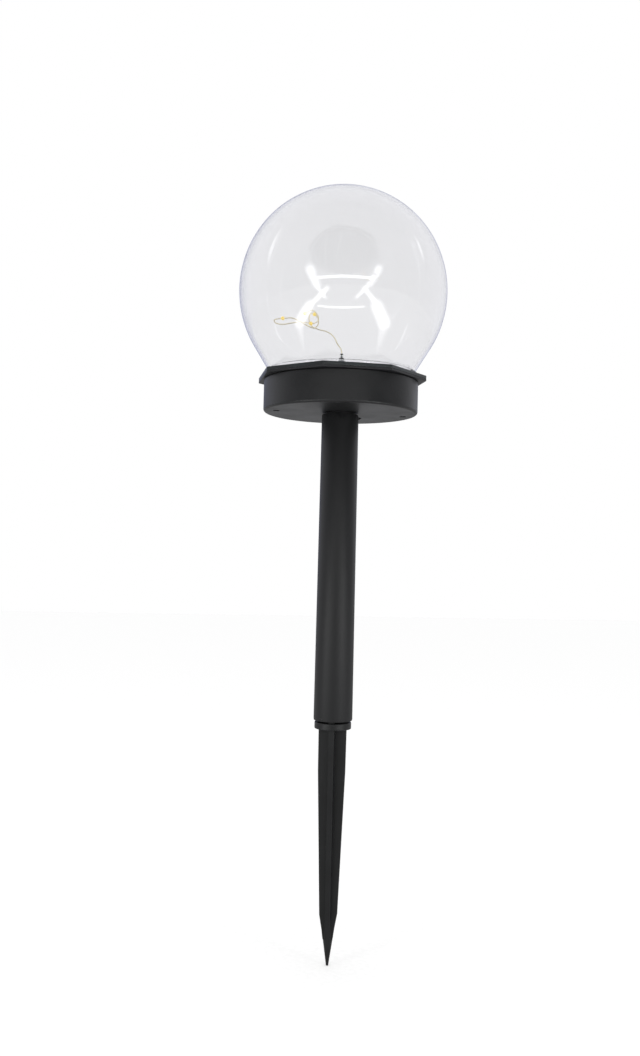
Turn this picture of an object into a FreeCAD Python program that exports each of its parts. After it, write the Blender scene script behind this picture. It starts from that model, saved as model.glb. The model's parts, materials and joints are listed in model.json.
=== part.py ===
import FreeCAD, Part
import math
import os
from FreeCAD import Vector, Rotation, Placement

os.makedirs("parts", exist_ok=True)

# Garden globe light, millimetres. Z is up, the origin lies on the axis at the underside of
# the spike's collar, which is the ground line. X runs through the two case screws.

# spike
collar_radius = 8.75
collar_height = 3.2
collar_edge = 0.4
fin_turn = -16.0            # degrees, how the fins stand in the collar
fin_thick = 2.6
fin_top_half = 6.6
fin_shoulder_drop = 20.0    # the fins are near parallel down to here
fin_shoulder_half = 6.45
fin_blade_drop = 87.5       # from here they run in quickly
fin_blade_half = 4.2
fin_neck_drop = 94.5
fin_neck_half = 2.95
point_drop = 99.0           # the solid round point starts here
point_half = 2.35
tip_drop = 111.4
tip_half = 0.55
core_radius = 1.9           # round web where the fins cross

# pole
pole_length = 145.8
pole_bottom_radius = 9.25
pole_top_radius = 8.8
pole_bore_radius = 6.5
socket_radius = 7.3
socket_depth = 20.0
pole_bottom_chamfer = 0.8
pole_top_chamfer = 0.3
spigot_play = 0.15          # radial, spigot in socket
joint_gap = 0.7             # open line left at each end of the pole
spigot_chamfer = 0.9
stub_wall = 1.6

# lamp housing
cup_radius = 37.0
cup_height = 14.8
cup_wall = 2.2
cup_floor = 1.8
cup_edge = 1.2
lid_seat_depth = 2.4
lid_seat_width = 1.2
lid_play = 0.1
lid_thick = 2.0
shadow_gap = 0.4            # dark line between housing rim and panel
gusset_count = 8
gusset_thick = 1.2
gusset_reach = 2.2
gusset_height = 6.0

# screws
screw_head_radius = 1.5
screw_head_height = 1.2
screw_shank_radius = 0.85
screw_length = 8.0
screw_play = 0.12
screw_recess_depth = 4.0
screw_recess_radius = 1.65
screw_cross_width = 0.5
screw_cross_depth = 0.6
screw_cross_reach = 0.9
post_radius = 3.2
post_side_gap = 0.6         # between a screw post and the housing wall
post_height = 10.2
boss_radius = 2.5
boss_play = 0.1

# solar panel
panel_flats = 76.0
panel_board_thick = 1.0
panel_resin_thick = 1.6
cell_count = 4
cell_width = 12.4
cell_length = 50.0
cell_thick = 0.3
cell_gap = 0.8
ribbon_width = 1.2
ribbon_thick = 0.12
ribbon_overrun = 1.4
panel_hole_radius = 2.1
cell_hole_radius = 2.9

# globe
globe_radius = 50.0
globe_wall = 1.3
globe_end_angle = 32.18     # degrees below its middle, where the ball runs into the skirt
neck_radius = 34.5          # outer, where the skirt meets the flange
flange_radius = 36.7
flange_thick = 1.3
flange_inset = 0.5
bond_thick = 0.3

# wire post
grommet_play = 0.05
grommet_flange_radius = 3.4
grommet_flange_thick = 0.9
grommet_foot_radius = 2.6
grommet_bore_radius = 1.0
grommet_bore_rise = 1.8     # the leads end this far above the panel
grommet_stem_radius = 0.95
grommet_stem_rise = 3.3     # the foot has drawn in to the stem here
grommet_head_rise = 6.1
grommet_head_radius = 2.1
grommet_head_height = 1.2
grommet_nipple_radius = 0.9
post_play = 0.03            # radial, ring on nipple and sleeve in cap
ferrule_radius = 1.45
ferrule_height = 0.8
cap_radius = 1.2
cap_height = 1.0
cap_socket_depth = 0.5
sleeve_radius = 0.62
sleeve_stand = 1.5
tie_radius = 0.75
tie_height = 0.6

# light string
wire_diameter = 0.6
bunch_turn = -11.0          # degrees, the plane in which the string leans over
bead_radius = 1.0
bead_round = 0.45
bead_half_length = 1.15
bead_bore_play = 0.22       # room for the wire's bend inside the resin
bead_runs = [8, 14, 21, 25]
chip_size = Vector(0.7, 0.6, 0.3)
# the string's route in its leaning plane: sideways, depth, height above the tie
string_route = [
    (0.0, 0.0, 0.0),
    (0.0, 0.0, 2.0),
    (-2.3, 0.4, 4.6),
    (-3.5, 0.8, 8.0),
    (-6.9, 0.5, 10.7),
    (-11.3, -0.2, 11.4),
    (-15.1, -1.2, 12.7),
    (-16.4, -1.7, 16.2),
    (-15.3, -1.3, 19.9),
    (-11.8, 1.3, 17.9),
    (-11.4, 2.4, 14.6),
    (-13.7, 3.4, 12.4),
    (-18.4, 2.6, 14.6),
    (-23.9, 1.0, 17.3),
    (-26.6, 0.3, 16.9),
    (-31.0, -0.6, 16.3),
    (-33.4, -0.3, 15.7),
    (-32.2, 0.9, 14.2),
    (-28.6, 1.4, 13.9),
    (-24.0, 1.2, 14.9),
    (-19.4, -0.6, 15.1),
    (-16.8, -3.4, 13.9),
    (-13.4, -4.0, 13.2),
    (-11.2, -3.4, 15.5),
    (-12.1, -2.8, 18.4),
    (-15.0, -3.6, 20.6),
    (-17.6, -4.0, 18.6),
]

# battery and contacts
battery_radius = 5.25
battery_length = 43.7
battery_nub_radius = 1.9
battery_nub_length = 0.8
battery_edge = 0.4
battery_shift = 0.8
battery_lift = 0.6
cradle_play = 0.15
cradle_reach = 12.0
cradle_thick = 1.6
contact_thick = 0.4
contact_width = 8.0
contact_height = 8.6
contact_tab = 2.6
contact_tab_half = 1.5
contact_side_gap = 0.9      # between a contact's corner and the housing wall
contact_wall_thick = 1.4
contact_wall_height = 8.0
spring_room = 3.0
spring_thick = 0.3
spring_width = 6.0
spring_bend = 0.9
spring_root_rise = 3.4      # these heights are taken from the cell's axis
spring_foot_drop = 3.8
spring_touch_drop = 1.9
spring_touch_rise = 1.4
spring_curl_rise = 3.2
spring_curl_stand = 0.8

# switch, its finger well and the board
well_shift = 4.1            # sideways, from the lamp's axis to the well's middle
well_half_width = 9.0
well_near = 9.6
well_far = 26.0
well_depth = 5.0
well_corner = 3.0
well_wall = 1.4
switch_travel = 2.0
switch_half_length = 4.3
switch_half_width = 2.2
switch_height = 3.7
stem_half_length = 1.0
stem_half_width = 1.1
stem_entry = 1.0
stem_root = 1.0
slot_play = 0.3
knob_half_length = 2.7
knob_half_width = 2.6
knob_height = 3.6
knob_play = 0.3
knob_grooves = 3
knob_groove_width = 0.6
knob_groove_pitch = 1.44
board_half_length = 12.0
board_margin = 0.6
board_thick = 1.0
peg_radius = 1.4
peg_inset = 1.8             # from the board's long edges
peg_reach = 7.4
pin_radius = 0.75
pin_play = 0.05
pin_stand = 0.5
chip_half = Vector(2.6, 2.0, 0.7)
capacitor_half = Vector(1.6, 0.9, 0.6)
capacitor_offset = 3.0
inductor_radius = 1.4
inductor_length = 6.4
lead_diameter = 0.9
lead_spacing = 0.98
lead_bend = 1.35
lead_hole_x = 12.0
lead_hole_radius = 0.95
lead_hole_spread = 1.14     # half the distance between the two holes for the panel leads
lead_hole_back = 3.8
panel_pad_x = 3.4
panel_pad_pitch = 1.8
panel_lead_slack = 0.8
battery_pad_reach = 9.6
battery_lead_run = 4.0
battery_lead_rise = 2.0
battery_lead_draw = 2.0     # how far the battery leads come in beside the lamp's middle
battery_lead_turn = 5.0
battery_lead_clear = 2.5    # they pass the board's end this far out
part_gap = 0.05             # small parts stand this far off each other
over = 1.0                  # a cutting body runs this far past what it cuts
arc_share = 0.45            # an arc takes up this much of its shorter run

# stations worked out from the sizes above
pole_z = collar_height + joint_gap
pole_top_z = pole_z + pole_length
cup_z = pole_top_z + joint_gap
floor_z = cup_z + cup_floor
rim_z = cup_z + cup_height
panel_z = rim_z + shadow_gap
lid_z = panel_z - lid_thick
cells_z = panel_z + panel_board_thick
panel_top_z = cells_z + panel_resin_thick
flange_z = panel_top_z + bond_thick
skirt_z = flange_z + flange_thick
cup_bore_radius = cup_radius - cup_wall
screw_reach = cup_bore_radius - post_radius - post_side_gap
lid_seat_radius = cup_bore_radius + lid_seat_width
lid_seat_z = rim_z - lid_seat_depth
lid_radius = lid_seat_radius - lid_play
spigot_radius = socket_radius - spigot_play
spigot_length = socket_depth + joint_gap
well_roof_z = cup_z + well_depth
switch_z = well_roof_z + well_wall
board_z = switch_z + switch_height
board_top_z = board_z + board_thick
well_mid = (well_near + well_far) / 2.0
board_low_x = well_shift - board_half_length
board_high_x = well_shift + board_half_length
post_top_z = cup_z + post_height
screw_seat_z = cup_z + screw_recess_depth
battery_z = floor_z + battery_lift + battery_radius
lead_end_z = panel_top_z + grommet_bore_rise
head_z = panel_top_z + grommet_head_rise
ferrule_z = head_z + grommet_head_height
cap_z = ferrule_z + ferrule_height
cap_top_z = cap_z + cap_height
tie_z = cap_top_z + sleeve_stand
string_z = tie_z + tie_height
ball_end = math.radians(globe_end_angle)
skirt_length = (globe_radius * math.cos(ball_end) - neck_radius) / math.sin(ball_end)
globe_centre_z = skirt_z + globe_radius * math.sin(ball_end) + skirt_length * math.cos(ball_end)
battery_low_x = battery_shift - battery_length / 2.0
battery_high_x = battery_shift + battery_length / 2.0 + battery_nub_length
contact_low_x = battery_low_x - spring_room
contact_reach = max(-contact_low_x, battery_high_x) + contact_thick
contact_corner = math.sqrt((cup_bore_radius - contact_side_gap) ** 2 - contact_reach ** 2)
battery_inset = contact_corner - contact_width / 2.0
cells_half = (cell_count * cell_width + (cell_count - 1) * cell_gap) / 2.0
screw_sides = (-1, 1)
up = Vector(0, 0, 1)


def save(name, shape):
    """Write one node after checking that its solids are sound."""
    solids = shape.Solids
    if not solids or not shape.isValid():
        raise ValueError(name + " is not a sound solid")
    result = solids[0] if len(solids) == 1 else Part.makeCompound(solids)
    result.exportStep("parts/" + name + ".step")
    print(name, len(solids), "solids", round(sum(s.Volume for s in solids), 1), "mm3")


def cylinder(radius, low, high, x=0.0, y=0.0):
    return Part.makeCylinder(radius, high - low, Vector(x, y, low))


def block(x0, x1, y0, y1, z0, z1):
    return Part.makeBox(x1 - x0, y1 - y0, z1 - z0, Vector(x0, y0, z0))


def turned(profile):
    """Revolve a closed outline of (radius, height) points about the lamp's axis."""
    points = [Vector(r, 0, z) for r, z in profile]
    face = Part.Face(Part.makePolygon(points + points[:1]))
    return face.revolve(Vector(0, 0, 0), up, 360)


def regular_prism(flats, sides, low, high):
    radius = flats / 2.0 / math.cos(math.pi / sides)
    step = 2.0 * math.pi / sides
    points = [Vector(radius * math.cos((k + 0.5) * step), radius * math.sin((k + 0.5) * step), low)
              for k in range(sides + 1)]
    return Part.Face(Part.makePolygon(points)).extrude(Vector(0, 0, high - low))


def rounded_block(x0, x1, y0, y1, z0, z1, corner):
    solid = block(x0, x1, y0, y1, z0, z1)
    upright = [e for e in solid.Edges if abs(e.tangentAt(e.FirstParameter).z) > 0.99]
    return solid.makeFillet(corner, upright)


def route_wire(points, radius=None):
    """Join straight runs by tangent arcs and return the wire with the arcs' radii."""
    runs = [b - a for a, b in zip(points, points[1:])]
    edges = []
    radii = []
    start = points[0]
    for corner, before, after in zip(points[1:], runs, runs[1:]):
        turn = before.getAngle(after)
        setback = arc_share * min(before.Length, after.Length)
        if radius:
            setback = min(setback, radius * math.tan(turn / 2.0))
        bend = setback / math.tan(turn / 2.0)
        inward = Vector(before).normalize()
        outward = Vector(after).normalize()
        arc_start = corner - inward * setback
        arc_end = corner + outward * setback
        middle_way = (outward - inward).normalize()
        arc_middle = corner + middle_way * (bend / math.cos(turn / 2.0) - bend)
        edges.append(Part.LineSegment(start, arc_start).toShape())
        edges.append(Part.Arc(arc_start, arc_middle, arc_end).toShape())
        radii.append(bend)
        start = arc_end
    edges.append(Part.LineSegment(start, points[-1]).toShape())
    return Part.Wire(edges), radii


def tube(points, diameter, radius=None):
    """A round lead or cord along a route, with the lowest radius and the volume check."""
    wire, radii = route_wire(points, radius)
    heading = (points[1] - points[0]).normalize()
    ring = Part.Wire(Part.makeCircle(diameter / 2.0, points[0], heading))
    solid = wire.makePipeShell([ring], True, False)
    expected = math.pi * diameter * diameter / 4.0 * wire.Length
    return solid, wire, radii, solid.Volume / expected


def strip(points, thick, width, radius):
    """A bent metal strip: a flat section carried along a route in a plane of constant y."""
    wire, _ = route_wire(points, radius)
    heading = (points[1] - points[0]).normalize()
    across = heading.cross(Vector(0, 1, 0)).normalize() * (thick / 2.0)
    side = Vector(0, width / 2.0, 0)
    corners = [points[0] + across * a + side * b for a, b in ((1, 1), (1, -1), (-1, -1), (-1, 1))]
    return wire.makePipeShell([Part.makePolygon(corners + corners[:1])], True, False)


def make_spike():
    """Collar, cross-ribbed spigot above it, four fins and a round point below it."""
    outline = [
        (fin_top_half, 0.0),
        (fin_shoulder_half, -fin_shoulder_drop),
        (fin_blade_half, -fin_blade_drop),
        (fin_neck_half, -fin_neck_drop),
        (point_half, -point_drop),
    ]
    half = fin_thick / 2.0
    corners = [Vector(h, -half, z) for h, z in outline]
    corners += [Vector(-h, -half, z) for h, z in reversed(outline)]
    blade = Part.Face(Part.makePolygon(corners + corners[:1])).extrude(Vector(0, fin_thick, 0))
    point = turned([(0, 0), (core_radius, 0), (core_radius, -fin_blade_drop),
                    (point_half, -point_drop), (tip_half, -tip_drop), (0, -tip_drop)])
    below = blade.fuse([blade.copy().rotate(Vector(0, 0, 0), up, 90), point])
    collar = cylinder(collar_radius, 0.0, collar_height)
    rims = [e for e in collar.Edges if e.Closed and isinstance(e.Curve, Part.Circle)]
    collar = collar.makeFillet(collar_edge, rims)
    top_z = collar_height + spigot_length
    cross = block(-spigot_radius, spigot_radius, -half, half, collar_height - collar_edge, top_z)
    cross = cross.fuse(cross.copy().rotate(Vector(0, 0, 0), up, 90))
    envelope = turned([(0, 0), (spigot_radius, 0), (spigot_radius, top_z - 2 * spigot_chamfer),
                       (spigot_radius - spigot_chamfer, top_z), (0, top_z)])
    spigot = cross.common(envelope).fuse(cylinder(core_radius, collar_height - collar_edge, top_z))
    spike = collar.fuse([spigot, below]).removeSplitter()
    return spike.rotate(Vector(0, 0, 0), up, fin_turn)


def make_pole():
    """Tapered tube with a wider socket at each end; each spigot stops on its ledge."""
    slope = (pole_bottom_radius - pole_top_radius) / pole_length
    return turned([
        (socket_radius, pole_z),
        (pole_bottom_radius - pole_bottom_chamfer / 2.0, pole_z),
        (pole_bottom_radius - slope * pole_bottom_chamfer, pole_z + pole_bottom_chamfer),
        (pole_top_radius + slope * pole_top_chamfer, pole_top_z - pole_top_chamfer),
        (pole_top_radius - pole_top_chamfer, pole_top_z),
        (socket_radius, pole_top_z),
        (socket_radius, pole_top_z - socket_depth),
        (pole_bore_radius, pole_top_z - socket_depth),
        (pole_bore_radius, pole_z + socket_depth),
        (socket_radius, pole_z + socket_depth),
    ])


def well_shape(grow, low, high):
    half = well_half_width + grow
    return rounded_block(well_shift - half, well_shift + half, well_near - grow, well_far + grow,
                         low, high, well_corner + grow)


def board_pegs():
    near = well_near + board_margin + peg_inset
    far = well_far - board_margin - peg_inset
    return [(well_shift + sx * peg_reach, y) for sx in (-1, 1) for y in (near, far)]


def stem_slot(low, high):
    half_length = stem_half_length + switch_travel / 2.0 + slot_play
    half_width = stem_half_width + slot_play
    return block(well_shift - half_length, well_shift + half_length, well_mid - half_width,
                 well_mid + half_width, low, high)


def make_cup():
    """Round housing: stub for the pole, finger well, posts, cradle and stiffening gussets."""
    outer = cylinder(cup_radius, cup_z, rim_z)
    low_rim = [e for e in outer.Edges if e.Closed and abs(e.BoundBox.ZMax - cup_z) < 1e-6]
    shell = outer.makeFillet(cup_edge, low_rim)
    shell = shell.cut(cylinder(cup_bore_radius, floor_z, rim_z + over))
    stub_z = cup_z - spigot_length
    stub = turned([
        (spigot_radius - stub_wall, stub_z),
        (spigot_radius - spigot_chamfer, stub_z),
        (spigot_radius, stub_z + 2 * spigot_chamfer),
        (spigot_radius, floor_z),
        (spigot_radius - stub_wall, floor_z),
    ])
    parts = [stub, well_shape(well_wall, cup_z + cup_floor / 2.0, switch_z)]
    for sx in screw_sides:
        parts.append(cylinder(post_radius, floor_z - cup_floor / 2.0, post_top_z, sx * screw_reach))
        rib = block(screw_reach, cup_bore_radius + cup_wall / 2.0, -gusset_thick / 2.0,
                    gusset_thick / 2.0, floor_z - cup_floor / 2.0, post_top_z)
        parts.append(rib if sx > 0 else rib.rotate(Vector(0, 0, 0), up, 180))
    for k in range(gusset_count):
        angle = 360.0 * (k + 0.5) / gusset_count
        face = Part.makePolygon([
            Vector(cup_bore_radius - gusset_reach, 0, floor_z - cup_floor / 2.0),
            Vector(cup_bore_radius + cup_wall / 2.0, 0, floor_z - cup_floor / 2.0),
            Vector(cup_bore_radius + cup_wall / 2.0, 0, floor_z + gusset_height),
            Vector(cup_bore_radius, 0, floor_z + gusset_height),
            Vector(cup_bore_radius - gusset_reach, 0, floor_z + gusset_reach),
            Vector(cup_bore_radius - gusset_reach, 0, floor_z - cup_floor / 2.0),
        ])
        gusset = Part.Face(face).extrude(Vector(0, gusset_thick, 0))
        gusset.translate(Vector(0, -gusset_thick / 2.0, 0))
        parts.append(gusset.rotate(Vector(0, 0, 0), up, angle))
    parts += cradle_parts()
    for x, y in board_pegs():
        parts.append(cylinder(peg_radius, switch_z - well_wall / 2.0, board_z, x, y))
        parts.append(cylinder(pin_radius, switch_z, board_top_z + pin_stand, x, y))
    cup = shell.fuse(parts)
    cup = cup.cut(cylinder(lid_seat_radius, lid_seat_z, rim_z + over))
    cuts = [well_shape(0.0, cup_z - over, well_roof_z), stem_slot(well_roof_z - over, switch_z + over)]
    for sx in screw_sides:
        cuts.append(cylinder(screw_recess_radius, cup_z - over, screw_seat_z, sx * screw_reach))
        hole = screw_shank_radius + screw_play
        cuts.append(cylinder(hole, cup_z, post_top_z + over, sx * screw_reach))
    return cup.cut(cuts).removeSplitter()


def cradle_parts():
    """Two saddles under the battery and a wall behind each contact."""
    low = floor_z - cup_floor / 2.0
    made = []
    saddle_cut = Part.makeCylinder(battery_radius + cradle_play, 2 * cup_radius,
                                   Vector(-cup_radius, -battery_inset, battery_z), Vector(1, 0, 0))
    half = battery_radius - cradle_play
    for sx in (-1, 1):
        x = battery_shift + sx * cradle_reach
        saddle = block(x - cradle_thick / 2.0, x + cradle_thick / 2.0, -battery_inset - half,
                       -battery_inset + half, low, battery_z - battery_radius / 3.0)
        made.append(saddle.cut(saddle_cut))
    limit = cylinder(cup_bore_radius + cup_wall / 2.0, low, rim_z)
    for x in contact_wall_faces():
        wall = block(min(x), max(x), -battery_inset - contact_width / 2.0,
                     -battery_inset + contact_width / 2.0, low, floor_z + contact_wall_height)
        made.append(wall.common(limit))
    return made


def contact_wall_faces():
    near_low = contact_low_x - contact_thick
    near_high = battery_high_x + contact_thick
    return (near_low - contact_wall_thick, near_low), (near_high, near_high + contact_wall_thick)


def make_lid():
    """Closing plate: carries the panel, takes the screws and passes the leads."""
    lid = cylinder(lid_radius, lid_z, panel_z)
    bosses = []
    pilots = []
    for sx in screw_sides:
        bosses.append(cylinder(boss_radius, post_top_z + boss_play, lid_z + lid_thick / 2.0,
                               sx * screw_reach))
        pilots.append(cylinder(screw_shank_radius + part_gap, post_top_z, lid_z + lid_thick / 4.0,
                               sx * screw_reach))
    lid = lid.fuse(bosses)
    for x, y in panel_lead_starts():
        pilots.append(cylinder(lead_hole_radius, lid_z - over, panel_z + over, x, y))
    pilots.append(cylinder(panel_hole_radius, lid_z - over, panel_z + over))
    return lid.cut(pilots).removeSplitter()


def make_gasket():
    return turned([
        (cup_bore_radius + lid_play, lid_seat_z),
        (lid_radius, lid_seat_z),
        (lid_radius, lid_z),
        (cup_bore_radius + lid_play, lid_z),
    ])


def make_screws():
    screws = []
    for sx in screw_sides:
        x = sx * screw_reach
        head = cylinder(screw_head_radius, screw_seat_z - screw_head_height, screw_seat_z, x)
        rim = [e for e in head.Edges if e.Closed and e.BoundBox.ZMax < screw_seat_z - 0.01]
        head = head.makeFillet(screw_head_height / 3.0, rim)
        shank = cylinder(screw_shank_radius, screw_seat_z, screw_seat_z + screw_length, x)
        low = screw_seat_z - screw_head_height - over
        high = screw_seat_z - screw_head_height + screw_cross_depth
        reach = screw_cross_reach
        half = screw_cross_width / 2.0
        cross = block(x - reach, x + reach, -half, half, low, high)
        cross = cross.fuse(block(x - half, x + half, -reach, reach, low, high))
        screws.append(head.fuse(shank).cut(cross).removeSplitter())
    return Part.makeCompound(screws)


def cell_left(k):
    return -cells_half + k * (cell_width + cell_gap)


def make_panel():
    """Backing board, cell strips, tinned ribbons and the clear resin cast over them."""
    hole = cylinder(panel_hole_radius, panel_z - over, panel_top_z + over)
    keep_out = cylinder(cell_hole_radius, panel_z - over, panel_top_z + over)
    board = regular_prism(panel_flats, 8, panel_z, cells_z).cut(hole)
    half = cell_length / 2.0
    cell_top = cells_z + cell_thick
    cells = [block(cell_left(k), cell_left(k) + cell_width, -half, half, cells_z, cell_top)
             .cut(keep_out) for k in range(cell_count)]
    ribbon_parts = []
    for k in range(cell_count):
        middle = cell_left(k) + cell_width / 2.0
        ribbon_parts.append(block(middle - ribbon_width / 2.0, middle + ribbon_width / 2.0,
                                  -half - ribbon_overrun, half + ribbon_overrun,
                                  cell_top, cell_top + ribbon_thick))
        if k + 1 < cell_count:
            end = half + ribbon_overrun if k % 2 else -half - ribbon_overrun
            inner = end - math.copysign(ribbon_width, end)
            ribbon_parts.append(block(middle, middle + cell_width + cell_gap, min(end, inner),
                                      max(end, inner), cell_top, cell_top + ribbon_thick))
    ribbons = ribbon_parts[0].fuse(ribbon_parts[1:]).removeSplitter()
    resin = regular_prism(panel_flats, 8, cells_z, panel_top_z).cut([hole] + cells + [ribbons])
    save("panel_board", board)
    save("solar_cells", Part.makeCompound(cells))
    save("cell_ribbons", ribbons)
    save("panel_resin", resin)


def make_globe():
    """Clear shell in two mouldings welded at the equator: dome, and bowl with skirt and flange."""
    inner_radius = globe_radius - globe_wall

    def on_sphere(radius, angle):
        return Vector(radius * math.cos(angle), 0, globe_centre_z + radius * math.sin(angle))

    def save_turned(name, edges):
        save(name, Part.Face(Part.Wire(edges)).revolve(Vector(0, 0, 0), up, 360))

    outer_side = on_sphere(globe_radius, 0.0)
    inner_side = on_sphere(inner_radius, 0.0)
    outer_top = Vector(0, 0, globe_centre_z + globe_radius)
    inner_top = Vector(0, 0, globe_centre_z + inner_radius)
    high = math.pi / 4.0
    save_turned("globe_dome", [
        Part.Arc(outer_top, on_sphere(globe_radius, high), outer_side).toShape(),
        Part.LineSegment(outer_side, inner_side).toShape(),
        Part.Arc(inner_side, on_sphere(inner_radius, high), inner_top).toShape(),
        Part.LineSegment(inner_top, outer_top).toShape(),
    ])
    outer_low = on_sphere(globe_radius, -ball_end)
    inner_low = on_sphere(inner_radius, -ball_end)
    neck = Vector(neck_radius, 0, skirt_z)
    skirt = neck - outer_low
    inner_end = inner_low + skirt * ((inner_low.z - flange_z) / (outer_low.z - skirt_z))
    low = -ball_end / 2.0
    save_turned("globe_bowl", [
        Part.Arc(outer_side, on_sphere(globe_radius, low), outer_low).toShape(),
        Part.LineSegment(outer_low, neck).toShape(),
        Part.LineSegment(neck, Vector(flange_radius, 0, skirt_z)).toShape(),
        Part.LineSegment(Vector(flange_radius, 0, skirt_z), Vector(flange_radius, 0, flange_z)).toShape(),
        Part.LineSegment(Vector(flange_radius, 0, flange_z), inner_end).toShape(),
        Part.LineSegment(inner_end, inner_low).toShape(),
        Part.Arc(inner_low, on_sphere(inner_radius, low), inner_side).toShape(),
        Part.LineSegment(inner_side, outer_side).toShape(),
    ])
    save("globe_bond", turned([
        (inner_end.x + flange_inset, panel_top_z),
        (flange_radius - flange_inset, panel_top_z),
        (flange_radius - flange_inset, flange_z),
        (inner_end.x + flange_inset, flange_z),
    ]))


def make_post():
    """Rubber post through the panel; the string's end stands on it in ferrule, cap and sleeve."""
    barrel = panel_hole_radius - grommet_play
    flange_top = panel_top_z + grommet_flange_thick
    save("wire_grommet", turned([
        (0, lead_end_z),
        (grommet_bore_radius, lead_end_z),
        (grommet_bore_radius, lid_z),
        (barrel, lid_z),
        (barrel, panel_top_z),
        (grommet_flange_radius, panel_top_z),
        (grommet_flange_radius, flange_top - grommet_flange_thick / 3.0),
        (grommet_foot_radius, flange_top),
        (grommet_stem_radius, panel_top_z + grommet_stem_rise),
        (grommet_stem_radius, head_z),
        (grommet_head_radius, head_z + grommet_head_height / 3.0),
        (grommet_head_radius, ferrule_z),
        (grommet_nipple_radius, ferrule_z),
        (grommet_nipple_radius, cap_z),
        (0, cap_z),
    ]))
    nipple_hole = grommet_nipple_radius + post_play
    save("wire_ferrule", turned([
        (nipple_hole, ferrule_z),
        (ferrule_radius, ferrule_z),
        (ferrule_radius, cap_z - ferrule_height / 4.0),
        (ferrule_radius - ferrule_height / 4.0, cap_z),
        (nipple_hole, cap_z),
    ]))
    socket = sleeve_radius + post_play
    socket_z = cap_top_z - cap_socket_depth
    save("wire_cap", turned([
        (0, cap_z),
        (cap_radius - cap_height / 4.0, cap_z),
        (cap_radius, cap_top_z - cap_height / 4.0),
        (cap_radius, cap_top_z),
        (socket, cap_top_z),
        (socket, socket_z),
        (0, socket_z),
    ]))
    save("wire_sleeve", cylinder(sleeve_radius, socket_z, tie_z))
    tie = cylinder(tie_radius, tie_z, string_z)
    rims = [e for e in tie.Edges if e.Closed and isinstance(e.Curve, Part.Circle)]
    save("wire_tie", tie.makeFillet(tie_height / 3.0, rims))


def string_points():
    turn = Rotation(up, bunch_turn)
    return [turn.multVec(Vector(x, y, string_z + z)) for x, y, z in string_route]


def make_string():
    """Copper light string with its beads; every bead sits in the straight of one run."""
    points = string_points()
    solid, wire, radii, ratio = tube(points, wire_diameter)
    print("led_wire length", round(wire.Length, 1), "radii", [round(r, 1) for r in radii])
    print("led_wire volume against section times length", round(ratio, 4))
    samples = wire.discretize(Distance=wire_diameter / 2.0)
    apart = int(4 * wire_diameter / (wire_diameter / 2.0))
    least = min((a - b).Length for i, a in enumerate(samples) for b in samples[i + apart:])
    print("led_wire least gap to itself", round(least - wire_diameter, 2))
    save("led_wire", solid)
    beads = []
    chips = []
    for run in bead_runs:
        start, end = points[run], points[run + 1]
        along = (end - start).normalize()
        last = run + 2 == len(points)
        centre = end + along * (bead_half_length / 2.0) if last else (start + end) * 0.5
        bead, chip = make_bead(last)
        bead.Placement = Placement(centre, Rotation(Vector(1, 0, 0), along))
        chip.Placement = bead.Placement
        beads.append(bead)
        chips.append(chip)
    save("led_beads", Part.makeCompound(beads))
    save("led_chips", Part.makeCompound(chips))


def make_bead(last):
    """A drop of resin along X, bored for the wire, and the diode that it covers."""
    reach = bead_half_length
    way = Vector(1, 0, 0)
    bead = Part.makeCylinder(bead_radius, 2 * reach, Vector(-reach, 0, 0), way)
    bead = bead.makeChamfer(bead_round, [e for e in bead.Edges if isinstance(e.Curve, Part.Circle)])
    bore_radius = wire_diameter / 2.0 + bead_bore_play
    bore_end = 0.0 if last else 2 * reach
    bore = Part.makeCylinder(bore_radius, bore_end + 2 * reach, Vector(-2 * reach, 0, 0), way)
    low = -chip_size.z / 2.0 if last else bore_radius - bead_bore_play / 2.0
    chip = block(-chip_size.x / 2.0, chip_size.x / 2.0, -chip_size.y / 2.0, chip_size.y / 2.0,
                 low, low + chip_size.z)
    return bead.cut(bore).cut(chip), chip


def make_battery():
    way = Vector(1, 0, 0)
    start = Vector(battery_low_x, -battery_inset, battery_z)
    body = Part.makeCylinder(battery_radius, battery_length, start, way)
    rims = [e for e in body.Edges if e.Closed and isinstance(e.Curve, Part.Circle)]
    body = body.makeFillet(battery_edge, rims)
    nub = Part.makeCylinder(battery_nub_radius, battery_nub_length, start + way * battery_length, way)
    save("battery", body.fuse(nub).removeSplitter())


def make_contacts():
    """Flat plate at the positive end, bent leaf spring at the negative end."""
    y = -battery_inset
    touch = battery_low_x - spring_thick / 2.0 - part_gap
    foot = contact_low_x + spring_thick / 2.0
    leaf = strip([
        Vector(foot, y, battery_z + spring_root_rise),
        Vector(foot, y, battery_z - spring_foot_drop),
        Vector(touch, y, battery_z - spring_touch_drop),
        Vector(touch, y, battery_z + spring_touch_rise),
        Vector(foot + spring_curl_stand, y, battery_z + spring_curl_rise),
    ], spring_thick, spring_width, spring_bend)
    save("battery_contact", contact_plate(battery_high_x))
    save("battery_spring", contact_plate(contact_low_x - contact_thick).fuse(leaf).removeSplitter())


def contact_plate(x):
    """Upright plate against its wall, with the tab that its lead is soldered to."""
    far = -battery_inset + contact_width / 2.0
    plate = block(x, x + contact_thick, far - contact_width, far, floor_z, floor_z + contact_height)
    tab = block(x, x + contact_thick, far, far + contact_tab, battery_z - contact_tab_half,
                battery_z + contact_tab_half)
    return plate.fuse(tab).removeSplitter()


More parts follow.
